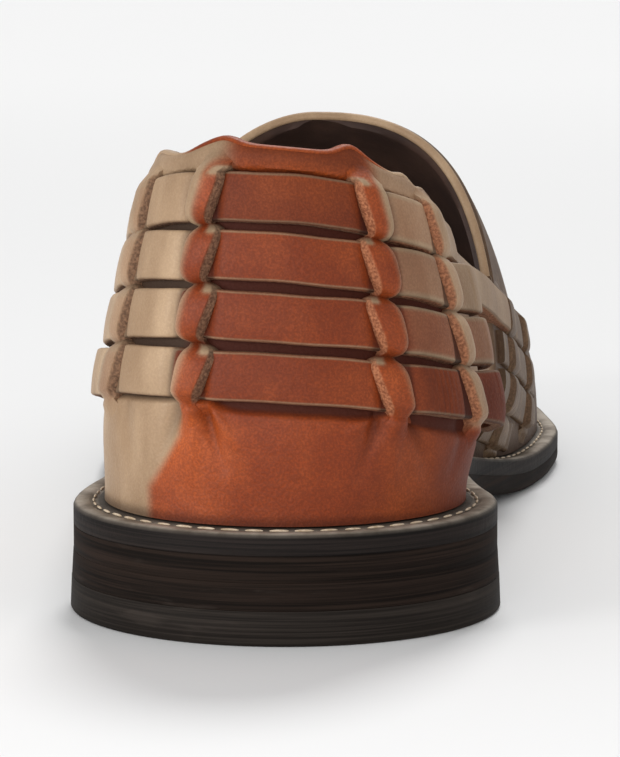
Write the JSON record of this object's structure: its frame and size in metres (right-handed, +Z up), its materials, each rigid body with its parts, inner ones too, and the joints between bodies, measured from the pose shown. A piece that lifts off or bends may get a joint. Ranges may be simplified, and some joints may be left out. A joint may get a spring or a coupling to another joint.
{
  "type": "loafer",
  "caption": "Low slip-on leather shoe for the left foot: hollow upper with straps woven through bands round the heel and vamp, insole, welt, outsole with toe spring and a stacked heel",
  "frame": {"origin": "on the floor, under the middle of the shoe's length and width", "axes": "X to the inner side of the left foot, Y from heel to toe, Z up"},
  "size_m": [0.0996, 0.2966, 0.0815],
  "materials": {
    "upper_leather": "hand-rubbed, satin",
    "welt_leather": "matte",
    "insole_leather": "matte",
    "sole_edge": "dyed and waxed",
    "heel_rubber": "matte"
  },
  "bodies": {
    "root": {"heel_top_piece": "heel_rubber", "heel_lift": "sole_edge", "outsole": "sole_edge", "welt": "welt_leather", "insole": "insole_leather", "upper": "upper_leather"}
  },
  "joints": []
}
